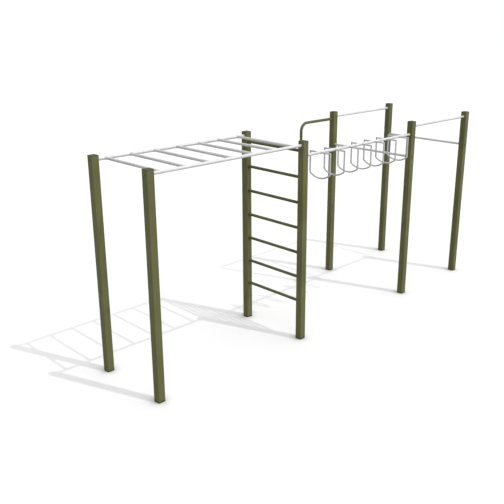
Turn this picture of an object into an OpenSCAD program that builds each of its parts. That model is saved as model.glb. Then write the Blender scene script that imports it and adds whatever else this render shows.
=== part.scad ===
// Outdoor climbing set on eight square posts: monkey bars, a wall-bar ladder,
// a loop ladder on one beam, low and high pull-up bars and a climbing pole.
// Millimetres. The origin is on the ground, at the middle of the whole set.
// +X runs from the monkey bars to the pull-up bars, +Y to the side of the pole.

/* [Plan] */
// Monkey bar bay, length between post centres
monkey_bay_l = 2260; // [1700:10:3000]
// Monkey bar bay, width between post centres
monkey_bay_w = 995; // [700:5:1300]
// Loop ladder bay, length between post centres
loop_bay_l = 2250; // [2150:10:3000]
// Pull-up bay, length between post centres
pullup_bay_l = 1430; // [1000:10:1800]
// Pull-up bay, width between post centres
pullup_bay_w = 1425; // [1000:5:1800]

/* [Posts] */
// Side of the square post tube
post_side = 90; // [70:1:120]
// Wall of the post tube
post_wall = 3; // [2:0.5:5]
// Outside radius of the post's corners
post_corner_r = 7; // [6:0.5:12]
// Height of a post, its cap included
post_h = 2582; // [2100:1:3200]
// Thickness of the cap at its edge
cap_t = 5; // [3:0.5:8]
// Rise of the cap's flat top over its edge
cap_rise = 1; // [1:0.5:6]
// Width of the slope round the cap's top
cap_slope_w = 4; // [3:0.5:20]
// Depth of the cap's skirt inside the post
cap_skirt_h = 25; // [10:1:40]
// Wall of the cap's skirt
cap_skirt_t = 4; // [2:0.5:8]
// Thickness of the plate in the foot of a post
foot_t = 20; // [10:1:30]
// Anchor thread in a post's foot plate
foot_thread_d = 16; // [10:2:24]

/* [Tubes] */
// Wall of every round tube
tube_wall = 3; // [2:0.2:3.6]
// Diameter of the beams over the monkey bars and the loops
rail_d = 38; // [34:0.1:48]
// Diameter of the monkey bar rungs and the pull-up bars
bar_d = 33.7; // [28:0.1:40]
// Diameter of the wall-bar rungs
wall_bar_d = 38; // [28:0.1:45]
// Diameter of the climbing pole
pole_d = 42.4; // [38:0.1:45]

/* [Heights under the post tops] */
// Monkey bar rails, centre below the post tops
rail_drop = 53; // [35:1:70]
// High pull-up bars, centre below the post tops
high_bar_drop = 73; // [60:1:74]
// Level arm of the climbing pole, centre below the post tops
pole_drop = 108; // [108:1:140]
// Beam of the loop ladder, centre below the post tops
beam_drop = 182; // [150:1:260]
// Low pull-up bars, centre below the post tops
low_bar_drop = 502; // [300:1:900]
// Highest wall-bar rung, centre below the post tops
wall_bar_drop = 127; // [110:1:180]

/* [Rungs and loops] */
// Number of monkey bar rungs
rung_count = 7; // [7:1:7]
// Post centre to the nearest monkey bar rung
rung_end_gap = 155; // [100:1:220]
// Number of wall-bar rungs
wall_bar_count = 7; // [7:1:7]
// Lowest wall-bar rung, centre above the ground
wall_bar_first_z = 514; // [300:1:700]
// Number of loops
loop_count = 7; // [7:1:7]
// Post centre to the nearest loop
loop_end_gap = 312; // [120:1:400]
// Diameter of the loops' tube
loop_d = 21.3; // [18:0.1:30]
// Loop, middle to the centre of a leg
loop_half_w = 162; // [120:1:220]
// Straight side of a loop, beam centre down to its lower corner
loop_side_h = 265; // [180:1:320]
// Drop of the loop's bowed bottom below its lower corners
loop_bow = 59; // [50:1:100]
// Bend radius at the loop's lower corners
loop_bend_r = 20; // [17:1:45]

/* [Climbing pole] */
// Length of the pole's level arm, post centre to pole centre
pole_reach = 735; // [500:1:1000]
// Bend radius of the pole
pole_bend_r = 120; // [80:1:200]
// Thickness of the plug in the pole's foot
pole_foot_t = 20; // [10:1:30]
// Anchor thread in the pole's foot plug
pole_thread_d = 12; // [8:2:16]

/* [Fasteners] */
// Diameter of the bolts through the posts
bolt_d = 10; // [8:2:12]
// Diameter of a bolt's button head
bolt_head_d = 17.5; // [16:0.5:20]
// Height of a bolt's button head
bolt_head_h = 5.5; // [4:0.1:7]
// Size of the hexagon socket across its flats
bolt_hex = 6; // [4:1:8]
// Thread engaged beyond the post
bolt_grip = 22; // [15:1:28]
// Length of the threaded plug in a tube's end
plug_l = 30; // [30:1:60]
// Outside diameter of the spacer sleeve inside a post
sleeve_d = 18; // [16:0.5:24]
// Outside diameter of a bolt cover
cover_d = 22; // [21.5:0.1:24]
// Height of a bolt cover
cover_h = 10; // [9:0.5:14]

/* [Hidden] */

$fn = 64;

// Clearances
hole_gap = 0.5;      // bolt shank to the sides of its hole
socket_gap = 0.3;    // tube to the hole that it is welded into
insert_gap = 0.3;    // plugs, caps and foot plates to the tube around them
weld_gap = 0.2;      // coped tube end to the beam that it is welded to
thread_gap = 0.1;    // thread to thread
head_gap = 0.25;     // bolt head to its cover
past = 1;            // how far a cut runs past the face that it opens
bend_lip = 0.05;     // a loop's bends are this much fuller than its straight tube
bend_lap = 1;        // straight tube that runs on inside a loop's bend

// Plan, with the origin in the middle of all that stands on it or overhangs it
half_post = post_side / 2;
loop_overhang = loop_half_w + loop_d / 2 + bend_lip;
cover_overhang = half_post + cover_h;
x_start = -(monkey_bay_l + loop_bay_l + pullup_bay_l) / 2;
x_ladder = x_start + monkey_bay_l;
x_pull_up = x_ladder + loop_bay_l;
x_end = x_pull_up + pullup_bay_l;
y_right = (loop_overhang - pullup_bay_w - cover_overhang) / 2;
y_left = y_right + pullup_bay_w;
y_monkey_left = y_right + monkey_bay_w;

// Heights
z_rail = post_h - rail_drop;
z_high_bar = post_h - high_bar_drop;
z_pole_arm = post_h - pole_drop;
z_beam = post_h - beam_drop;
z_low_bar = post_h - low_bar_drop;
z_wall_bar_top = post_h - wall_bar_drop;

// Posts and caps
post_inside = post_side - 2 * post_wall;
inside_corner_r = post_corner_r - post_wall;
post_tube_h = post_h - cap_t - cap_rise;

// Patterns
rung_pitch = (monkey_bay_l - 2 * rung_end_gap) / (rung_count - 1);
wall_bar_pitch = (z_wall_bar_top - wall_bar_first_z) / (wall_bar_count - 1);
loop_pitch = (loop_bay_l - 2 * loop_end_gap) / (loop_count - 1);

// Bowed bottom of a loop: an arc on the lower corners, blended into the legs by bends
bow_r = (pow(loop_half_w, 2) + pow(loop_bow, 2)) / (2 * loop_bow);
bow_z = bow_r - loop_side_h - loop_bow;
blend_y = loop_half_w - loop_bend_r;
blend_angle = asin(blend_y / (bow_r - loop_bend_r));
blend_z = bow_z - (bow_r - loop_bend_r) * cos(blend_angle);

// Mitres at a loop's upper corners, and the box that cuts them
arm_side = 45;
leg_side = 225;
mitre_box = 2 * (loop_half_w + loop_side_h);

// Bolts
shank_l = post_side + bolt_grip;
bolt_hole_d = bolt_d + 2 * hole_gap;
socket_depth = bolt_head_h * 0.6;
cover_inside_d = bolt_head_d + 2 * head_gap;
cover_inside_h = bolt_head_h + head_gap;
cover_edge_h = cover_h / 2;
cover_rise = cover_h - cover_edge_h;
cover_sphere_r = (pow(cover_d / 2, 2) + pow(cover_rise, 2)) / (2 * cover_rise);

// Directions in which a bar leaves a post
to_end = [0, 90, 0];
to_start = [0, -90, 0];
to_left = [-90, 0, 0];
to_right = [90, 0, 0];

// Where a bar is bolted on: post, height, and the way that the bar leaves
rail_ends = [
    [[x_start, y_monkey_left], z_rail, to_end],
    [[x_ladder, y_monkey_left], z_rail, to_start],
    [[x_start, y_right], z_rail, to_end],
    [[x_ladder, y_right], z_rail, to_start],
    [[x_ladder, y_right], z_beam, to_end],
    [[x_pull_up, y_right], z_beam, to_start]
];
bar_ends = [
    [[x_pull_up, y_left], z_high_bar, to_end],
    [[x_end, y_left], z_high_bar, to_start],
    [[x_pull_up, y_right], z_high_bar, to_end],
    [[x_end, y_right], z_high_bar, to_start],
    [[x_pull_up, y_right], z_low_bar, to_left],
    [[x_pull_up, y_left], z_low_bar, to_right],
    [[x_end, y_right], z_low_bar, to_left],
    [[x_end, y_left], z_low_bar, to_right]
];

// Paint and metal
module painted() { color([0.37, 0.38, 0.24]) children(); }
module plastic() { color([0.29, 0.30, 0.19]) children(); }
module galvanised() { color([0.80, 0.81, 0.81]) children(); }
module zinc() { color([0.62, 0.63, 0.64]) children(); }

// Square with round corners, as two crossed bars and four discs
module round_square(side, r) {
    square([side, side - 2 * r], center = true);
    square([side - 2 * r, side], center = true);
    for (x = [-1, 1], y = [-1, 1])
        translate([x * (side / 2 - r), y * (side / 2 - r)]) circle(r);
}

// Hollow round tube along +Z
module tube(d, length) {
    difference() {
        cylinder(d = d, h = length);
        translate([0, 0, -past]) cylinder(d = d - 2 * tube_wall, h = length + 2 * past);
    }
}

// Ring section of a tube, for bends
module ring(d, wall) {
    difference() {
        circle(d = d);
        circle(d = d - 2 * wall);
    }
}

// Moves a shape made along +Z from the centre of a post out to a bolted place
module at_end(place) {
    translate([place[0][0], place[0][1], place[1]]) rotate(place[2]) children();
}

// Post tube with its bolt holes and the sockets that tubes are welded into
module post(at, sockets = []) {
    painted() difference() {
        translate([at[0], at[1], 0]) linear_extrude(post_tube_h) difference() {
            round_square(post_side, post_corner_r);
            round_square(post_inside, inside_corner_r);
        }
        for (place = concat(rail_ends, bar_ends))
            if (place[0] == at)
                at_end(place)
                    translate([0, 0, -half_post - past])
                        cylinder(d = bolt_hole_d, h = post_side + 2 * past);
        for (socket = sockets)
            translate([at[0], at[1], socket[0]]) rotate(socket[1])
                cylinder(d = socket[2] + 2 * socket_gap, h = half_post + past);
    }
}

// Outline of the cap across the post, sloped down to its edges
module cap_profile() {
    linear_extrude(post_side, center = true) polygon([
        [-half_post, 0], [half_post, 0], [half_post, cap_t],
        [half_post - cap_slope_w, cap_t + cap_rise],
        [-half_post + cap_slope_w, cap_t + cap_rise], [-half_post, cap_t]
    ]);
}

// Cap with sloped edges and a skirt that slides into the post
module cap(at) {
    plastic() translate([at[0], at[1], post_tube_h]) {
        intersection() {
            linear_extrude(cap_t + cap_rise) round_square(post_side, post_corner_r);
            rotate([90, 0, 0]) cap_profile();
            rotate([90, 0, 90]) cap_profile();
        }
        translate([0, 0, -cap_skirt_h]) linear_extrude(cap_skirt_h) difference() {
            round_square(post_inside - 2 * insert_gap, inside_corner_r);
            square(post_inside - 2 * insert_gap - 2 * cap_skirt_t, center = true);
        }
    }
}

// Plate welded into the foot of a post, with the anchor thread
module foot(at) {
    zinc() translate([at[0], at[1], 0]) difference() {
        linear_extrude(foot_t) round_square(post_inside - 2 * insert_gap, inside_corner_r);
        translate([0, 0, -past]) cylinder(d = foot_thread_d, h = foot_t + 2 * past);
    }
}

// Tube between the facing sides of two posts, from one post centre along a direction
module span(at, z, direction, d, between) {
    translate([at[0], at[1], z]) rotate(direction)
        translate([0, 0, half_post]) tube(d, between - post_side);
}

module monkey_rail(y) {
    galvanised() span([x_start, y], z_rail, to_end, rail_d, monkey_bay_l);
}

// Rung coped to the two rails
module monkey_rung(i) {
    x = x_start + rung_end_gap + (i - 1) * rung_pitch;
    galvanised() difference() {
        translate([x, y_right, z_rail]) rotate(to_left) tube(bar_d, monkey_bay_w);
        for (y = [y_right, y_monkey_left])
            translate([x - bar_d, y, z_rail]) rotate(to_end)
                cylinder(d = rail_d + 2 * weld_gap, h = 2 * bar_d);
    }
}

// Wall-bar rung, whose ends stand in sockets through the walls of its two posts
module wall_bar(i) {
    z = wall_bar_first_z + (i - 1) * wall_bar_pitch;
    painted() translate([x_ladder, y_right + half_post - post_wall, z]) rotate(to_left)
        tube(wall_bar_d, monkey_bay_w - post_side + 2 * post_wall);
}

module loop_beam() {
    galvanised() span([x_ladder, y_right], z_beam, to_end, rail_d, loop_bay_l);
}

// Bend about a point in the loop's plane
module bend(centre, radius, from, turn, d) {
    translate([centre[0], centre[1], 0]) rotate(from) rotate_extrude(angle = turn)
        translate([radius, 0]) circle(d = d);
}

// Keeps what lies on one side of the mitre through a loop's upper corner
module mitred(side) {
    intersection() {
        children();
        translate([loop_half_w, 0, 0]) rotate(side)
            translate([-mitre_box / 2, 0, -mitre_box / 2]) cube(mitre_box);
    }
}

// One side of a loop, with the loop's width along X and its height along Y:
// an arm and a leg, mitred where they meet, and the bend at the leg's foot
module loop_side(d) {
    mitred(arm_side) translate([loop_d / 2, 0, 0]) rotate([0, 90, 0])
        cylinder(d = d, h = loop_half_w);
    mitred(leg_side) translate([loop_half_w, loop_d, 0]) rotate([90, 0, 0])
        cylinder(d = d, h = loop_d + bend_lap - blend_z);
    bend([blend_y, blend_z], loop_bend_r, blend_angle - 90, 90 - blend_angle, d + 2 * bend_lip);
}

// The whole path of a loop as a round bar
module loop_path(d) {
    bow_angle = blend_angle + bend_lap / bow_r * 180 / PI;
    rotate([90, 0, 90]) {
        loop_side(d);
        rotate([0, 180, 0]) loop_side(d);
        bend([0, bow_z], bow_r, -90 - bow_angle, 2 * bow_angle, d);
    }
}

// Loop of tube across the beam: bent at the foot of its legs, mitred and welded
// at its upper corners, and coped to the beam's sides
module loop(i) {
    x = x_ladder + loop_end_gap + (i - 1) * loop_pitch;
    galvanised() translate([x, y_right, z_beam]) difference() {
        loop_path(loop_d);
        loop_path(loop_d - 2 * tube_wall);
        translate([-loop_d, 0, 0]) rotate(to_end)
            cylinder(d = rail_d + 2 * weld_gap, h = 2 * loop_d);
    }
}

module high_bar(y) {
    galvanised() span([x_pull_up, y], z_high_bar, to_end, bar_d, pullup_bay_l);
}

module low_bar(x) {
    galvanised() span([x, y_right], z_low_bar, to_left, bar_d, pullup_bay_w);
}

// Pole: a level arm from its post, one bend, and the shaft down to the ground
module climbing_pole() {
    x = x_pull_up - pole_reach;
    arm_l = pole_reach - pole_bend_r - half_post + post_wall;
    painted() {
        translate([x + pole_bend_r, y_left, z_pole_arm]) rotate(to_end) tube(pole_d, arm_l);
        translate([x + pole_bend_r, y_left, z_pole_arm - pole_bend_r])
            rotate([90, 0, 0]) rotate(90) rotate_extrude(angle = 90)
                translate([pole_bend_r, 0]) ring(pole_d, tube_wall);
        translate([x, y_left, 0]) tube(pole_d, z_pole_arm - pole_bend_r);
    }
}

module pole_foot_plug() {
    zinc() translate([x_pull_up - pole_reach, y_left, 0]) difference() {
        cylinder(d = pole_d - 2 * tube_wall - 2 * insert_gap, h = pole_foot_t);
        translate([0, 0, -past]) cylinder(d = pole_thread_d, h = pole_foot_t + 2 * past);
    }
}

// Threaded plugs welded into the ends of the bolted tubes
module end_plugs(places, d) {
    zinc() for (place = places)
        at_end(place) translate([0, 0, half_post]) difference() {
            cylinder(d = d - 2 * tube_wall - 2 * insert_gap, h = plug_l);
            translate([0, 0, -past])
                cylinder(d = bolt_d + 2 * thread_gap, h = plug_l + 2 * past);
        }
}

// Button-head bolts, from the far side of the post into the plug
module through_bolts() {
    zinc() for (place = concat(rail_ends, bar_ends))
        at_end(place) translate([0, 0, -half_post]) {
            cylinder(d = bolt_d, h = shank_l);
            difference() {
                translate([0, 0, -bolt_head_h]) cylinder(d = bolt_head_d, h = bolt_head_h);
                translate([0, 0, -bolt_head_h - past])
                    cylinder(d = bolt_hex * 2 / sqrt(3), h = socket_depth + past, $fn = 6);
            }
        }
}

// Sleeves that keep the bolts from crushing the posts
module spacer_sleeves() {
    zinc() for (place = concat(rail_ends, bar_ends))
        at_end(place) translate([0, 0, -post_inside / 2]) difference() {
            cylinder(d = sleeve_d, h = post_inside);
            translate([0, 0, -past]) cylinder(d = bolt_hole_d, h = post_inside + 2 * past);
        }
}

// Domed covers that snap over the bolt heads
module bolt_covers() {
    plastic() for (place = concat(rail_ends, bar_ends))
        at_end(place) translate([0, 0, -half_post]) rotate([180, 0, 0]) difference() {
            intersection() {
                cylinder(d = cover_d, h = cover_h);
                translate([0, 0, cover_h - cover_sphere_r]) sphere(cover_sphere_r);
            }
            translate([0, 0, -past]) cylinder(d = cover_inside_d, h = cover_inside_h + past);
        }
}

start_left = [x_start, y_monkey_left];
start_right = [x_start, y_right];
ladder_left = [x_ladder, y_monkey_left];
ladder_right = [x_ladder, y_right];
pull_up_left = [x_pull_up, y_left];
pull_up_right = [x_pull_up, y_right];
end_left = [x_end, y_left];
end_right = [x_end, y_right];

// Sockets of the welded tubes: height, direction and tube diameter
wall_bar_heights = [for (i = [0 : wall_bar_count - 1]) wall_bar_first_z + i * wall_bar_pitch];
left_sockets = [for (z = wall_bar_heights) [z, to_right, wall_bar_d]];
right_sockets = [for (z = wall_bar_heights) [z, to_left, wall_bar_d]];
pole_socket = [[z_pole_arm, to_start, pole_d]];

post(start_left);  // post_start_left
post(start_right);  // post_start_right
post(ladder_left, left_sockets);  // post_ladder_left
post(ladder_right, right_sockets);  // post_ladder_right
post(pull_up_left, pole_socket);  // post_pull_up_left
post(pull_up_right);  // post_pull_up_right
post(end_left);  // post_end_left
post(end_right);  // post_end_right
cap(start_left);  // cap_start_left
cap(start_right);  // cap_start_right
cap(ladder_left);  // cap_ladder_left
cap(ladder_right);  // cap_ladder_right
cap(pull_up_left);  // cap_pull_up_left
cap(pull_up_right);  // cap_pull_up_right
cap(end_left);  // cap_end_left
cap(end_right);  // cap_end_right
foot(start_left);  // foot_start_left
foot(start_right);  // foot_start_right
foot(ladder_left);  // foot_ladder_left
foot(ladder_right);  // foot_ladder_right
foot(pull_up_left);  // foot_pull_up_left
foot(pull_up_right);  // foot_pull_up_right
foot(end_left);  // foot_end_left
foot(end_right);  // foot_end_right
monkey_rail(y_monkey_left);  // monkey_rail_left
monkey_rail(y_right);  // monkey_rail_right
monkey_rung(1);  // monkey_rung_1
monkey_rung(2);  // monkey_rung_2
monkey_rung(3);  // monkey_rung_3
monkey_rung(4);  // monkey_rung_4
monkey_rung(5);  // monkey_rung_5
monkey_rung(6);  // monkey_rung_6
monkey_rung(7);  // monkey_rung_7
wall_bar(1);  // wall_bar_1
wall_bar(2);  // wall_bar_2
wall_bar(3);  // wall_bar_3
wall_bar(4);  // wall_bar_4
wall_bar(5);  // wall_bar_5
wall_bar(6);  // wall_bar_6
wall_bar(7);  // wall_bar_7
loop_beam();
loop(1);  // loop_1
loop(2);  // loop_2
loop(3);  // loop_3
loop(4);  // loop_4
loop(5);  // loop_5
loop(6);  // loop_6
loop(7);  // loop_7
high_bar(y_left);  // high_bar_left
high_bar(y_right);  // high_bar_right
low_bar(x_pull_up);  // low_bar_start
low_bar(x_end);  // low_bar_end
climbing_pole();
pole_foot_plug();
end_plugs(rail_ends, rail_d);  // rail_end_plugs
end_plugs(bar_ends, bar_d);  // bar_end_plugs
through_bolts();
spacer_sleeves();
bolt_covers();
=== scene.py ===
import math

import bpy
import numpy as np
from mathutils import Euler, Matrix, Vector


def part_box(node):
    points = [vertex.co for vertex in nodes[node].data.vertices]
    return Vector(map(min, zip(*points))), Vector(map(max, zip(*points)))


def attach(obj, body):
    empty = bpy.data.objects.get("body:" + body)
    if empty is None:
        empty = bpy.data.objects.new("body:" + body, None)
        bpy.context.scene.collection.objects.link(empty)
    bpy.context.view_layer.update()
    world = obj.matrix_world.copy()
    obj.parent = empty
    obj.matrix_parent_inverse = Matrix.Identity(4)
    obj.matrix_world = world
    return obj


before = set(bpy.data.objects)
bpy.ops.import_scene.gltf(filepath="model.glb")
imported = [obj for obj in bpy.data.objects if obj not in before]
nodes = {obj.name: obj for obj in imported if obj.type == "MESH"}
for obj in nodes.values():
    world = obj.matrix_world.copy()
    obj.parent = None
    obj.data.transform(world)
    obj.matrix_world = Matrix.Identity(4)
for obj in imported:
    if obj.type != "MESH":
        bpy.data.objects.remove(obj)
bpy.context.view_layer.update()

scene = bpy.context.scene
print("frame loaded:", len(nodes), "CAD nodes")


# Middle of a CAD node's box, and half its size, as arrays
def middleOf(node):
    low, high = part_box(node)
    return (np.array(low) + np.array(high)) / 2


def halfOf(node):
    low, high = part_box(node)
    return (np.array(high) - np.array(low)) / 2


view = {
    "fromPost": (-4.0082, -5.6958, 4.0541),  # camera's place from the near corner post's axis, metres
    "heading": 45.334,      # degrees from +X towards +Y
    "dip": 18.372,          # degrees below the horizon
    "lens": 50.9,           # millimetres
    "sensor": 36,           # width in millimetres
    "shift": (-0.0265, -0.0096),
    "farClip": 300,         # metres
}


def makeCamera():
    post = middleOf("post_start_right")
    data = bpy.data.cameras.new("camera")
    data.lens = view["lens"]
    data.sensor_width = view["sensor"]
    data.shift_x, data.shift_y = view["shift"]
    data.clip_end = view["farClip"]
    camera = bpy.data.objects.new("camera", data)
    scene.collection.objects.link(camera)
    camera.location = (post[0] + view["fromPost"][0], post[1] + view["fromPost"][1], view["fromPost"][2])
    turn = Euler((math.radians(90 - view["dip"]), 0, math.radians(view["heading"] - 90)), "XYZ")
    camera.rotation_euler = turn
    scene.camera = camera


studio = {
    "sunFrom": (0.175, -0.468, 0.866),  # direction towards the sun lamp
    "sunStrength": 1.15,
    "sunWidth": 0.7,        # degrees: how soft the shadows' edges are
    "skyFrom": (0.55, -0.70, 0.45),  # direction of the brightest part of the sky
    "skyLight": 1.79,       # strength there
    "skyShade": 0.27,       # strength on the far side
    "backdrop": 1.0,        # what the camera sees behind the floor
    "floorSeen": 0.685,     # the floor's grey for the camera
    "floorBounce": 0.38,    # and for the light that it throws back at the tubes
    "contactShadowReach": 0.11,   # metres over which painted contact shadow darkens the floor towards a foot
    "contactShadowDepth": 0.58,   # how much of that painted shadow is used, 0 to 1
    "floorSize": 160.0,
}


def makeLights():
    toSun = Vector(studio["sunFrom"]).normalized()
    lamp = bpy.data.lights.new("sun_lamp", "SUN")
    lamp.energy = studio["sunStrength"]
    lamp.angle = math.radians(studio["sunWidth"])
    sun = bpy.data.objects.new("sun_lamp", lamp)
    scene.collection.objects.link(sun)
    sun.rotation_euler = toSun.to_track_quat("Z", "Y").to_euler()

    world = bpy.data.worlds.new("studio")
    scene.world = world
    world.use_nodes = True
    tree = world.node_tree
    tree.nodes.clear()
    place = tree.nodes.new("ShaderNodeTexCoord")
    side = tree.nodes.new("ShaderNodeVectorMath")
    side.operation = "DOT_PRODUCT"
    side.inputs[1].default_value = Vector(studio["skyFrom"]).normalized()
    ramp = tree.nodes.new("ShaderNodeMapRange")
    ramp.inputs["From Min"].default_value = -1
    ramp.inputs["From Max"].default_value = 1
    ramp.inputs["To Min"].default_value = studio["skyShade"]
    ramp.inputs["To Max"].default_value = studio["skyLight"]
    sky = tree.nodes.new("ShaderNodeBackground")
    plain = tree.nodes.new("ShaderNodeBackground")
    plain.inputs["Strength"].default_value = studio["backdrop"]
    plain.inputs["Color"].default_value = (1, 1, 1, 1)
    sky.inputs["Color"].default_value = (1, 1, 1, 1)
    ray = tree.nodes.new("ShaderNodeLightPath")
    pick = tree.nodes.new("ShaderNodeMixShader")
    out = tree.nodes.new("ShaderNodeOutputWorld")
    tree.links.new(place.outputs["Generated"], side.inputs[0])
    tree.links.new(side.outputs["Value"], ramp.inputs["Value"])
    tree.links.new(ramp.outputs["Result"], sky.inputs["Strength"])
    tree.links.new(ray.outputs["Is Camera Ray"], pick.inputs["Fac"])
    tree.links.new(sky.outputs["Background"], pick.inputs[1])
    tree.links.new(plain.outputs["Background"], pick.inputs[2])
    tree.links.new(pick.outputs["Shader"], out.inputs["Surface"])


# Where a Mix node keeps its two inputs and its result, by kind of data
mixSockets = {"VECTOR": (4, 5, 1), "RGBA": (6, 7, 2)}


def makeFloor():
    half = studio["floorSize"] / 2
    mesh = bpy.data.meshes.new("floor")
    corners = [(-half, -half, 0), (half, -half, 0), (half, half, 0), (-half, half, 0)]
    mesh.from_pydata(corners, [], [(0, 1, 2, 3)])
    floor = bpy.data.objects.new("floor", mesh)
    scene.collection.objects.link(floor)
    paper = bpy.data.materials.new("floor_paper")
    paper.use_nodes = True
    tree = paper.node_tree
    tree.nodes.clear()
    seen = tree.nodes.new("ShaderNodeBsdfDiffuse")
    bounce = tree.nodes.new("ShaderNodeBsdfDiffuse")
    bounce.inputs["Color"].default_value = (studio["floorBounce"],) * 3 + (1,)
    # painted shadow: ambient occlusion multiplied into the floor's colour round each foot
    near = tree.nodes.new("ShaderNodeAmbientOcclusion")
    near.inputs["Distance"].default_value = studio["contactShadowReach"]
    shade = tree.nodes.new("ShaderNodeMix")
    shade.data_type = "RGBA"
    shade.blend_type = "MULTIPLY"
    shade.inputs["Factor"].default_value = studio["contactShadowDepth"]
    first, second, result = mixSockets["RGBA"]
    shade.inputs[first].default_value = (studio["floorSeen"],) * 3 + (1,)
    tree.links.new(near.outputs["Color"], shade.inputs[second])
    tree.links.new(shade.outputs[result], seen.inputs["Color"])
    ray = tree.nodes.new("ShaderNodeLightPath")
    pick = tree.nodes.new("ShaderNodeMixShader")
    out = tree.nodes.new("ShaderNodeOutputMaterial")
    tree.links.new(ray.outputs["Is Camera Ray"], pick.inputs["Fac"])
    tree.links.new(bounce.outputs["BSDF"], pick.inputs[1])
    tree.links.new(seen.outputs["BSDF"], pick.inputs[2])
    tree.links.new(pick.outputs["Shader"], out.inputs["Surface"])
    mesh.materials.append(paper)


makeCamera()
makeLights()
makeFloor()
scene.view_settings.view_transform = "Standard"
scene.view_settings.look = "None"
print("camera, lights and floor made")


# A new node with its settings, then the values of its inputs
def putNode(tree, kind, values=None, **settings):
    node = tree.nodes.new(kind)
    for name, value in settings.items():
        setattr(node, name, value)
    for name, value in (values or {}).items():
        node.inputs[name].default_value = value
    return node


# A node group from its inputs (label, kind, value) and outputs (label, kind)
def newGroup(name, inputs, outputs):
    tree = bpy.data.node_groups.new(name, "ShaderNodeTree")
    for label, kind, value in inputs:
        socket = tree.interface.new_socket(label, in_out="INPUT", socket_type=kind)
        if value is not None:
            socket.default_value = value
    for label, kind in outputs:
        tree.interface.new_socket(label, in_out="OUTPUT", socket_type=kind)
    return tree, tree.nodes.new("NodeGroupInput"), tree.nodes.new("NodeGroupOutput")


# One step of arithmetic on two sockets, such as MULTIPLY or DIVIDE
def mathOf(tree, operation, first, second):
    node = putNode(tree, "ShaderNodeMath", operation=operation)
    tree.links.new(first, node.inputs[0])
    tree.links.new(second, node.inputs[1])
    return node.outputs[0]


# Noise whose features are about as large as the size socket says, in metres
def noiseOfSize(tree, position, size, values):
    perSize = putNode(tree, "ShaderNodeMath", {0: 1.0}, operation="DIVIDE")
    tree.links.new(size, perSize.inputs[1])
    node = putNode(tree, "ShaderNodeTexNoise", values)
    tree.links.new(position, node.inputs["Vector"])
    tree.links.new(perSize.outputs[0], node.inputs["Scale"])
    return node.outputs["Fac"]


# Noise with a fixed scale
def noiseAt(tree, position, values):
    node = putNode(tree, "ShaderNodeTexNoise", values)
    tree.links.new(position, node.inputs["Vector"])
    return node


# Carries a socket smoothly from start, where it equals low, to end, where it equals high
def softRamp(tree, socket, low, high, start=0.0, end=1.0, kind="SMOOTHSTEP"):
    values = {"From Min": low, "From Max": high, "To Min": start, "To Max": end}
    node = putNode(tree, "ShaderNodeMapRange", values, interpolation_type=kind)
    tree.links.new(socket, node.inputs["Value"])
    return node.outputs["Result"]


# Powder coat: fine orange peel for the bump, and a slow drift of tone
def coatGroup():
    tree, given, out = newGroup("coat_grain", [
        ("Position", "NodeSocketVector", None), ("Peel Size", "NodeSocketFloat", 0.003),
        ("Tone Size", "NodeSocketFloat", 0.35)],
        [("Height", "NodeSocketFloat"), ("Tone", "NodeSocketFloat")])
    position = given.outputs["Position"]
    peel = noiseOfSize(tree, position, given.outputs["Peel Size"], {"Detail": 2.0, "Roughness": 0.45})
    tone = noiseOfSize(tree, position, given.outputs["Tone Size"],
                       {"Detail": 4.0, "Roughness": 0.55, "Distortion": 0.4})
    tree.links.new(peel, out.inputs["Height"])
    tree.links.new(softRamp(tree, tone, low=0.3, high=0.7), out.inputs["Tone"])
    return tree


# Rain streaks: noise drawn out along Z, strongest where the broad noise lets it through
def streakGroup():
    tree, given, out = newGroup("rain_streaks", [
        ("Position", "NodeSocketVector", None), ("Width", "NodeSocketFloat", 0.012),
        ("Length", "NodeSocketFloat", 0.6)], [("Mask", "NodeSocketFloat")])
    split = putNode(tree, "ShaderNodeSeparateXYZ")
    join = putNode(tree, "ShaderNodeCombineXYZ")
    tree.links.new(given.outputs["Position"], split.inputs[0])
    for axis, size in (("X", "Width"), ("Y", "Width"), ("Z", "Length")):
        scaled = mathOf(tree, "DIVIDE", split.outputs[axis], given.outputs[size])
        tree.links.new(scaled, join.inputs[axis])
    streak = noiseAt(tree, join.outputs[0], {"Scale": 1.0, "Detail": 3.0, "Roughness": 0.6})
    broad = noiseAt(tree, given.outputs["Position"], {"Scale": 2.3, "Detail": 1.0})
    cut = softRamp(tree, streak.outputs["Fac"], low=0.52, high=0.75)
    let = softRamp(tree, broad.outputs["Fac"], low=0.4, high=0.65)
    tree.links.new(mathOf(tree, "MULTIPLY", cut, let), out.inputs["Mask"])
    return tree


# Dust thrown up from the ground: full at the foot, gone at the rise, broken up by noise.
# The second output is painted shade: a dark line painted round the very foot, where a post meets the floor.
def dustAndFootShadeGroup():
    tree, given, out = newGroup("ground_dust_and_foot_shade", [
        ("Position", "NodeSocketVector", None), ("Rise", "NodeSocketFloat", 0.3),
        ("Patch Size", "NodeSocketFloat", 0.03), ("Foot Shade Rise", "NodeSocketFloat", 0.02)],
        [("Mask", "NodeSocketFloat"), ("Foot Shade", "NodeSocketFloat")])
    split = putNode(tree, "ShaderNodeSeparateXYZ")
    tree.links.new(given.outputs["Position"], split.inputs[0])
    risen = mathOf(tree, "DIVIDE", split.outputs["Z"], given.outputs["Rise"])
    footShadeRisen = mathOf(tree, "DIVIDE", split.outputs["Z"], given.outputs["Foot Shade Rise"])
    fade = softRamp(tree, risen, low=0.0, high=1.0, start=1.0, end=0.0, kind="SMOOTHERSTEP")
    noise = noiseOfSize(tree, given.outputs["Position"], given.outputs["Patch Size"],
                        {"Detail": 6.0, "Roughness": 0.65})
    patch = softRamp(tree, noise, low=0.35, high=0.68)
    tree.links.new(mathOf(tree, "MULTIPLY", fade, patch), out.inputs["Mask"])
    # painted shade: full at the very foot, gone by its rise
    footShade = softRamp(tree, footShadeRisen, low=0.5, high=1.0, start=1.0, end=0.0)
    tree.links.new(footShade, out.inputs["Foot Shade"])
    return tree


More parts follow.
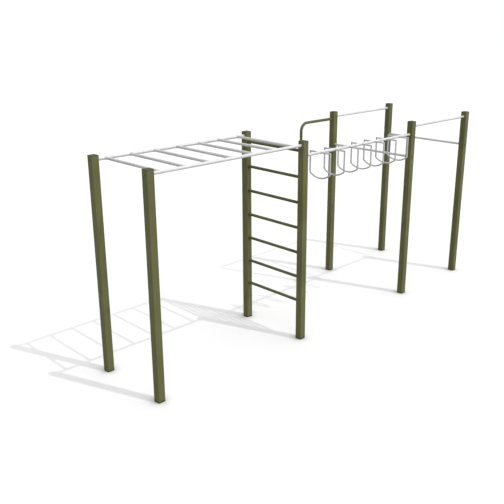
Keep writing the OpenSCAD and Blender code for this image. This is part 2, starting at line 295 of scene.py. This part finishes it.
# Edge wear: where the rounded-off normal leaves the true one, broken up by noise
def edgeGroup():
    tree, given, out = newGroup("edge_wear", [
        ("Position", "NodeSocketVector", None), ("Patch Size", "NodeSocketFloat", 0.02),
        ("Amount", "NodeSocketFloat", 0.5)], [("Mask", "NodeSocketFloat")])
    rounded = putNode(tree, "ShaderNodeBevel", {"Radius": 0.003}, samples=4)
    true = putNode(tree, "ShaderNodeNewGeometry")
    turn = putNode(tree, "ShaderNodeVectorMath", operation="DOT_PRODUCT")
    tree.links.new(rounded.outputs["Normal"], turn.inputs[0])
    tree.links.new(true.outputs["Normal"], turn.inputs[1])
    edge = softRamp(tree, turn.outputs["Value"], low=0.995, high=0.85)
    noise = noiseOfSize(tree, given.outputs["Position"], given.outputs["Patch Size"],
                        {"Detail": 8.0, "Roughness": 0.7})
    worn = mathOf(tree, "MULTIPLY", edge, softRamp(tree, noise, low=0.5, high=0.6))
    tree.links.new(mathOf(tree, "MULTIPLY", worn, given.outputs["Amount"]), out.inputs["Mask"])
    return tree


# Zinc spangle: grey crystals from a cell pattern, each with its own tone
def spangleGroup():
    tree, given, out = newGroup("zinc_spangle", [
        ("Position", "NodeSocketVector", None), ("Crystal Size", "NodeSocketFloat", 0.012)],
        [("Tone", "NodeSocketFloat"), ("Height", "NodeSocketFloat")])
    position = given.outputs["Position"]
    perCell = putNode(tree, "ShaderNodeMath", {0: 1.0}, operation="DIVIDE")
    tree.links.new(given.outputs["Crystal Size"], perCell.inputs[1])
    bend = noiseAt(tree, position, {"Scale": 60.0, "Detail": 2.0})
    push = putNode(tree, "ShaderNodeMix", {"Factor": 0.015}, data_type="VECTOR")
    first, second, result = mixSockets["VECTOR"]
    tree.links.new(position, push.inputs[first])
    tree.links.new(bend.outputs["Color"], push.inputs[second])
    cells = putNode(tree, "ShaderNodeTexVoronoi", {"Randomness": 1.0}, feature="F1")
    tree.links.new(push.outputs[result], cells.inputs["Vector"])
    tree.links.new(perCell.outputs[0], cells.inputs["Scale"])
    split = putNode(tree, "ShaderNodeSeparateColor")
    tree.links.new(cells.outputs["Color"], split.inputs[0])
    fine = noiseAt(tree, position, {"Scale": 700.0, "Detail": 3.0, "Roughness": 0.6})
    tone = putNode(tree, "ShaderNodeMix", {"Factor": 0.35}, data_type="FLOAT")
    tree.links.new(split.outputs[0], tone.inputs["A"])
    tree.links.new(fine.outputs["Fac"], tone.inputs["B"])
    tree.links.new(tone.outputs["Result"], out.inputs["Tone"])
    tree.links.new(fine.outputs["Fac"], out.inputs["Height"])
    return tree


coatGrain = coatGroup()
rainStreaks = streakGroup()
groundDustAndFootShade = dustAndFootShadeGroup()
edgeWear = edgeGroup()
zincSpangle = spangleGroup()
print("shader groups made")


def newMaterial(name, values):
    material = bpy.data.materials.new(name)
    material.use_nodes = True
    tree = material.node_tree
    tree.nodes.clear()
    shader = putNode(tree, "ShaderNodeBsdfPrincipled", values)
    out = tree.nodes.new("ShaderNodeOutputMaterial")
    tree.links.new(shader.outputs["BSDF"], out.inputs["Surface"])
    place = tree.nodes.new("ShaderNodeTexCoord")
    return material, tree, shader, place.outputs["Object"]


# Blend of two colours, each a socket or a plain value, by a mask
def mixColours(tree, mask, first, second, strength=1.0):
    node = putNode(tree, "ShaderNodeMix", data_type="RGBA")
    weigh = putNode(tree, "ShaderNodeMath", {1: strength}, operation="MULTIPLY")
    tree.links.new(mask, weigh.inputs[0])
    tree.links.new(weigh.outputs[0], node.inputs["Factor"])
    one, two, result = mixSockets["RGBA"]
    for socket, colour in ((node.inputs[one], first), (node.inputs[two], second)):
        if isinstance(colour, bpy.types.NodeSocket):
            tree.links.new(colour, socket)
        else:
            socket.default_value = (*colour, 1)
    return node.outputs[result]


def mixNumbers(tree, mask, first, second):
    node = putNode(tree, "ShaderNodeMix", data_type="FLOAT")
    tree.links.new(mask, node.inputs["Factor"])
    for socket, number in ((node.inputs["A"], first), (node.inputs["B"], second)):
        if isinstance(number, bpy.types.NodeSocket):
            tree.links.new(number, socket)
        else:
            socket.default_value = number
    return node.outputs[0]


def bumpFrom(tree, height, strength, distance):
    node = putNode(tree, "ShaderNodeBump", {"Strength": strength, "Distance": distance})
    tree.links.new(height, node.inputs["Height"])
    return node.outputs["Normal"]


def groupIn(tree, group, position, values):
    node = putNode(tree, "ShaderNodeGroup", values, node_tree=group)
    tree.links.new(position, node.inputs["Position"])
    return node


olive = {
    "deep": (0.090, 0.094, 0.035),
    "fair": (0.114, 0.118, 0.046),
    "rubbed": (0.135, 0.138, 0.062),
    "dust": (0.170, 0.160, 0.085),
    "dustLoad": 0.16,
    "streak": (0.118, 0.120, 0.054),
    # painted shade: the dark colour painted round the very foot, with its load and rise below
    "footShade": (0.034, 0.036, 0.014),
    "dustPatch": 0.025,     # sizes and depths are in metres
    "footShadeLoad": 0.8,
    "footShadeRise": 0.024,
    "toneSize": 0.4,
    "streakSize": {"Width": 0.014, "Length": 0.7},
    "chipSize": 0.03,
    "peelSize": 0.0028,
    "peelDepth": 0.00006,
    "peelStrength": 0.5,
    "gloss": 0.46,          # roughness of clean coat
    "glossDrift": 0.06,     # and how much rougher its paler patches are
    "dustRough": 0.75,      # roughness under dust
    "sheen": 0.20,          # specular level of the coat
}


# Olive powder coat for posts, wall bars and pole; a tint below 1 paints shade as a darker copy of the coat
def oliveCoat(name, wear, dustRise, streaks, tintAndShade=1.0):
    material, tree, shader, position = newMaterial(
        name, {"Metallic": 0.0, "IOR": 1.5, "Specular IOR Level": olive["sheen"]})
    grain = groupIn(tree, coatGrain, position,
                    {"Peel Size": olive["peelSize"], "Tone Size": olive["toneSize"]})
    deep, fair = ([tintAndShade * part for part in olive[tone]] for tone in ("deep", "fair"))
    colour = mixColours(tree, grain.outputs["Tone"], deep, fair)
    streak = groupIn(tree, rainStreaks, position, olive["streakSize"])
    colour = mixColours(tree, streak.outputs["Mask"], colour, olive["streak"], streaks)
    edge = groupIn(tree, edgeWear, position, {"Patch Size": olive["chipSize"], "Amount": wear})
    colour = mixColours(tree, edge.outputs["Mask"], colour, olive["rubbed"])
    # dust is real dirt; the same group also gives the painted shade at the foot
    dust = groupIn(tree, groundDustAndFootShade, position,
                   {"Rise": dustRise, "Patch Size": olive["dustPatch"], "Foot Shade Rise": olive["footShadeRise"]})
    colour = mixColours(tree, dust.outputs["Mask"], colour, olive["dust"], olive["dustLoad"])
    # painted shade: darken the very foot
    colour = mixColours(tree, dust.outputs["Foot Shade"], colour, olive["footShade"], olive["footShadeLoad"])
    rough = mixNumbers(tree, grain.outputs["Tone"], olive["gloss"], olive["gloss"] + olive["glossDrift"])
    rough = mixNumbers(tree, dust.outputs["Mask"], rough, olive["dustRough"])
    tree.links.new(colour, shader.inputs["Base Color"])
    tree.links.new(rough, shader.inputs["Roughness"])
    bump = bumpFrom(tree, grain.outputs["Height"], olive["peelStrength"], olive["peelDepth"])
    tree.links.new(bump, shader.inputs["Normal"])
    return material


steel = {
    "deep": (0.455, 0.459, 0.463),
    "fair": (0.630, 0.632, 0.634),
    "polished": (0.680, 0.680, 0.678),
    "crystal": 0.011,       # sizes and depths are in metres
    "patchSize": 0.22,
    "metal": 0.25,
    "gloss": 0.36,          # roughness of the polished patches
    "glossDrift": 0.16,     # and how much rougher the dull ones are
    "bumpStrength": 0.4,
    "bumpDepth": 0.00008,
}


# Galvanised tube: spangle, slow dull patches, and polish where hands hold it; a tint below 1 paints shade as
# a darker copy
def galvanisedTube(name, polish, tintAndShade=1.0):
    material, tree, shader, position = newMaterial(name, {"Metallic": steel["metal"], "IOR": 1.5})
    spangle = groupIn(tree, zincSpangle, position, {"Crystal Size": steel["crystal"]})
    grain = groupIn(tree, coatGrain, position, {"Tone Size": steel["patchSize"]})
    deep, fair, polished = ([tintAndShade * part for part in steel[tone]] for tone in ("deep", "fair", "polished"))
    colour = mixColours(tree, spangle.outputs["Tone"], deep, fair)
    colour = mixColours(tree, grain.outputs["Tone"], colour, polished, polish)
    rough = mixNumbers(tree, grain.outputs["Tone"], steel["gloss"] + steel["glossDrift"], steel["gloss"])
    tree.links.new(colour, shader.inputs["Base Color"])
    tree.links.new(rough, shader.inputs["Roughness"])
    bump = bumpFrom(tree, spangle.outputs["Height"], steel["bumpStrength"], steel["bumpDepth"])
    tree.links.new(bump, shader.inputs["Normal"])
    return material


plastic = {
    "deep": (0.052, 0.057, 0.024),
    "fair": (0.072, 0.078, 0.034),
    "grain": 0.0012,        # sizes and depths are in metres
    "toneSize": 0.05,
    "chipSize": 0.01,
    "wear": 0.5,
    "wearShown": 0.6,
    "rough": 0.68,
    "roughDrift": 0.12,
    "sheen": 0.15,          # specular level
    "bumpStrength": 0.6,
    "bumpDepth": 0.00008,
}


# Moulded plastic with a fine spark-eroded grain
def mouldedPlastic(name, tintAndShade=1.0):
    material, tree, shader, position = newMaterial(
        name, {"Metallic": 0.0, "IOR": 1.48, "Specular IOR Level": plastic["sheen"]})
    grain = groupIn(tree, coatGrain, position,
                    {"Peel Size": plastic["grain"], "Tone Size": plastic["toneSize"]})
    edge = groupIn(tree, edgeWear, position, {"Patch Size": plastic["chipSize"], "Amount": plastic["wear"]})
    deep, fair = ([tintAndShade * part for part in plastic[tone]] for tone in ("deep", "fair"))
    colour = mixColours(tree, grain.outputs["Tone"], deep, fair)
    colour = mixColours(tree, edge.outputs["Mask"], colour, olive["rubbed"], plastic["wearShown"])
    rougher = plastic["rough"] + plastic["roughDrift"]
    rough = mixNumbers(tree, grain.outputs["Tone"], plastic["rough"], rougher)
    tree.links.new(colour, shader.inputs["Base Color"])
    tree.links.new(rough, shader.inputs["Roughness"])
    bump = bumpFrom(tree, grain.outputs["Height"], plastic["bumpStrength"], plastic["bumpDepth"])
    tree.links.new(bump, shader.inputs["Normal"])
    return material


zinc = {
    "deep": (0.42, 0.43, 0.45),
    "fair": (0.60, 0.60, 0.60),
    "bare": (0.75, 0.75, 0.74),
    "metal": 0.85,
    "grain": 0.0009,        # sizes and depths are in metres
    "toneSize": 0.03,
    "chipSize": 0.004,
    "wear": 0.7,
    "wearShown": 0.8,
    "rough": 0.34,
    "roughDrift": 0.15,
    "bumpStrength": 0.3,
    "bumpDepth": 0.00003,
}


# Zinc-plated steel of bolts, plugs, sleeves and foot plates
def platedSteel(name):
    material, tree, shader, position = newMaterial(name, {"Metallic": zinc["metal"], "IOR": 1.5})
    grain = groupIn(tree, coatGrain, position, {"Peel Size": zinc["grain"], "Tone Size": zinc["toneSize"]})
    edge = groupIn(tree, edgeWear, position, {"Patch Size": zinc["chipSize"], "Amount": zinc["wear"]})
    colour = mixColours(tree, grain.outputs["Tone"], zinc["deep"], zinc["fair"])
    colour = mixColours(tree, edge.outputs["Mask"], colour, zinc["bare"], zinc["wearShown"])
    rough = mixNumbers(tree, grain.outputs["Tone"], zinc["rough"], zinc["rough"] + zinc["roughDrift"])
    tree.links.new(colour, shader.inputs["Base Color"])
    tree.links.new(rough, shader.inputs["Roughness"])
    bump = bumpFrom(tree, grain.outputs["Height"], zinc["bumpStrength"], zinc["bumpDepth"])
    tree.links.new(bump, shader.inputs["Normal"])
    return material


postCoat = oliveCoat("olive_post_coat", wear=0.8, dustRise=0.32, streaks=0.30)
# painted shade: the wall bars and pole get a darker copy of the post coat
barCoatPaintedShade = oliveCoat("olive_bar_coat_painted_shade", wear=0.4, dustRise=0.32, streaks=0.10, tintAndShade=0.80)
# painted shade: beams, bars and loops are darker copies of one galvanised finish, each by the shade it lies
# in
beamZincPaintedShade = galvanisedTube("galvanised_beam_painted_shade", polish=0.25, tintAndShade=0.96)
barZincPaintedShade = galvanisedTube("galvanised_bar_painted_shade", polish=0.50, tintAndShade=0.89)
gripZincPaintedShade = galvanisedTube("galvanised_grip_painted_shade", polish=0.65, tintAndShade=0.79)
capPlastic = mouldedPlastic("olive_cap_plastic")
coverPlastic = mouldedPlastic("olive_cover_plastic", tintAndShade=1.6)
hardwareZinc = platedSteel("zinc_hardware")
finishes = [
    ("post_", postCoat), ("wall_bar", barCoatPaintedShade), ("climbing_pole", barCoatPaintedShade),
    ("monkey_rail", beamZincPaintedShade), ("loop_beam", beamZincPaintedShade), ("monkey_rung", barZincPaintedShade), ("loop_", gripZincPaintedShade),
    ("high_bar", barZincPaintedShade), ("low_bar", barZincPaintedShade), ("cap_", capPlastic), ("bolt_covers", coverPlastic),
    ("", hardwareZinc),
]
for name, piece in nodes.items():
    finish = next(material for start, material in finishes if name.startswith(start))
    for place in piece.material_slots:
        place.material = finish
print("materials made and set on the CAD nodes")


bead = {
    "radius": 0.0026,       # metres
    "sink": 0.35,           # how far its middle lies off both metals, in parts of its radius
    "ripples": 34,          # round one bead
    "rippleDepth": 0.10,
    "around": 136,          # points along the run
    "section": 12,          # points round the section
    "flush": 0.75,          # a mitre's bead is sunk by this much of its radius
    "flushTurn": 0.85,      # more towards the outer corner, less towards the inner one
    "bendProud": 0.00005,   # metres that a loop's bends stand proud of its tube
}


# A closed bead: a round section carried along a closed line. The line is middle(t), and the section at t is
# middle + r (cos v * out + sin v * side). The radius ripples along the run as the weld pool did:
# r = radius * (1 - depth + 2 depth * |sin(ripples t / 2 + sin(v) / 2)|).
def beadSurface(middle, out, side):
    t = np.linspace(0, 2 * np.pi, len(middle), endpoint=False)[:, None]
    v = np.linspace(0, 2 * np.pi, bead["section"], endpoint=False)[None, :]
    wave = np.abs(np.sin(bead["ripples"] * t / 2 + 0.5 * np.sin(v)))
    r = bead["radius"] * (1 - bead["rippleDepth"] + bead["rippleDepth"] * 2 * wave)
    turned = np.cos(v)[..., None] * out[:, None] + np.sin(v)[..., None] * side[:, None]
    return middle[:, None] + r[..., None] * turned


# Faces of a grid that closes on itself both ways
def closedGridFaces(rows, columns, first):
    i = np.arange(rows)[:, None]
    j = np.arange(columns)[None, :]
    a = i * columns + j
    b = ((i + 1) % rows) * columns + j
    c = ((i + 1) % rows) * columns + (j + 1) % columns
    d = i * columns + (j + 1) % columns
    return (np.stack([a, b, c, d], -1).reshape(-1, 4) + first).tolist()


def pieceFromGrids(name, grids, material):
    points = np.concatenate([g.reshape(-1, 3) for g in grids])
    starts = np.cumsum([0] + [g.shape[0] * g.shape[1] for g in grids])
    faces = sum([closedGridFaces(g.shape[0], g.shape[1], int(s)) for g, s in zip(grids, starts)], [])
    mesh = bpy.data.meshes.new(name)
    mesh.from_pydata(points, [], faces)
    mesh.polygons.foreach_set("use_smooth", np.ones(len(faces), bool))
    mesh.materials.append(material)
    mesh.validate()
    piece = bpy.data.objects.new(name, mesh)
    scene.collection.objects.link(piece)
    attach(piece, "root")


# Ring where a round bar of radius barR meets a flat face at `at`, leaving it along `along`. At the angle t
# its middle lies at + (barR + sink)(cos t * first + sin t * second) + sink * along.
def ringBead(at, along, barR):
    t = np.linspace(0, 2 * np.pi, bead["around"], endpoint=False)[:, None]
    along = np.array(along, float)[None, :]
    first = np.roll(along, 1, 1)
    second = np.cross(along, first)
    out = np.cos(t) * first + np.sin(t) * second
    sunk = bead["sink"] * bead["radius"]
    middle = np.array(at)[None, :] + out * (barR + sunk) + along * sunk
    return beadSurface(middle, out, np.repeat(along, len(t), 0))


# Saddle where a bar along Y, of radius barR, meets the side of a beam along X, of radius beamR:
# at the angle t round the bar it lies sqrt(beamR^2 - (barR sin t)^2) out from the beam's axis.
def saddleBead(beamAxis, x, way, barR, beamR):
    t = np.linspace(0, 2 * np.pi, bead["around"], endpoint=False)[:, None]
    sunk = bead["sink"] * bead["radius"]
    barOut = np.concatenate([np.cos(t), 0 * t, np.sin(t)], 1)
    far = np.sqrt(beamR ** 2 - (barR * np.sin(t)) ** 2)
    beamOut = np.concatenate([0 * t, way * far / beamR, barR * np.sin(t) / beamR], 1)
    middle = np.concatenate([barR * np.cos(t), way * far, barR * np.sin(t)], 1) + sunk * (barOut + beamOut)
    middle = middle + np.array([[x, beamAxis[1], beamAxis[2]]])
    run = np.roll(middle, -1, 0) - np.roll(middle, 1, 0)
    run = run / np.linalg.norm(run, axis=1, keepdims=True)
    side = np.cross(run, barOut)
    side = side / np.linalg.norm(side, axis=1, keepdims=True)
    out = np.cross(side, run)
    return beadSurface(middle, out, side)


# Bead round the mitre where a loop's arm, along Y, meets its leg, along Z. At the angle t round the tube it
# lies tubeR cos t along X and sqrt(2) tubeR sin t along the mitre, and it is dressed flush towards the outer
# corner: all round it is moved inwards by radius * (flush + flushTurn sin t).
def mitreBead(corner, way, tubeR):
    t = np.linspace(0, 2 * np.pi, bead["around"], endpoint=False)[:, None]
    across = np.array([[1.0, 0, 0]])
    mitre = np.array([[0, way, 1.0]]) / math.sqrt(2)
    side = np.array([[0, way, -1.0]]) / math.sqrt(2)
    out = np.cos(t) * across + np.sin(t) / math.sqrt(2) * mitre
    out = out / np.linalg.norm(out, axis=1, keepdims=True)
    flush = -bead["radius"] * (bead["flush"] + bead["flushTurn"] * np.sin(t))
    middle = np.array(corner)[None, :] + tubeR * (np.cos(t) * across + math.sqrt(2) * np.sin(t) * mitre)
    return beadSurface(middle + flush * out, out, np.repeat(side, len(t), 0))


# Names of the CAD nodes numbered from 1 on, such as loop_1, loop_2
def numbered(stem):
    names = [f"{stem}_{i + 1}" for i in range(len(nodes))]
    return [name for name in names if name in nodes]


def wallBarBeads():
    grids = []
    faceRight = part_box("post_ladder_right")[1].y
    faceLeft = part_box("post_ladder_left")[0].y
    for name in numbered("wall_bar"):
        bar = middleOf(name)
        radius = halfOf(name)[2]
        grids.append(ringBead((bar[0], faceRight, bar[2]), (0, 1, 0), radius))
        grids.append(ringBead((bar[0], faceLeft, bar[2]), (0, -1, 0), radius))
    pieceFromGrids("wall_bar_welds", grids, barCoatPaintedShade)


def poleBead():
    low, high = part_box("climbing_pole")
    radius = (high.y - low.y) / 2
    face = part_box("post_pull_up_left")[0].x
    grids = [ringBead((face, (low.y + high.y) / 2, high.z - radius), (-1, 0, 0), radius)]
    pieceFromGrids("pole_weld", grids, barCoatPaintedShade)


def rungBeads():
    grids = []
    for rail, way in (("monkey_rail_right", 1), ("monkey_rail_left", -1)):
        axis = middleOf(rail)
        for rung in numbered("monkey_rung"):
            grids.append(saddleBead(axis, middleOf(rung)[0], way, halfOf(rung)[0], halfOf(rail)[2]))
    pieceFromGrids("rung_welds", grids, barZincPaintedShade)


def loopBeads():
    grids = []
    axis = middleOf("loop_beam")
    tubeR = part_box("loop_1")[1].z - axis[2]
    for loop in numbered("loop"):
        x = middleOf(loop)[0]
        corner = halfOf(loop)[1] - tubeR - bead["bendProud"]
        for way in (1, -1):
            grids.append(saddleBead(axis, x, way, tubeR, halfOf("loop_beam")[2]))
            grids.append(mitreBead((x, axis[1] + way * corner, axis[2]), way, tubeR))
    pieceFromGrids("loop_welds", grids, gripZincPaintedShade)


wallBarBeads()
poleBead()
rungBeads()
loopBeads()
print("weld beads made")
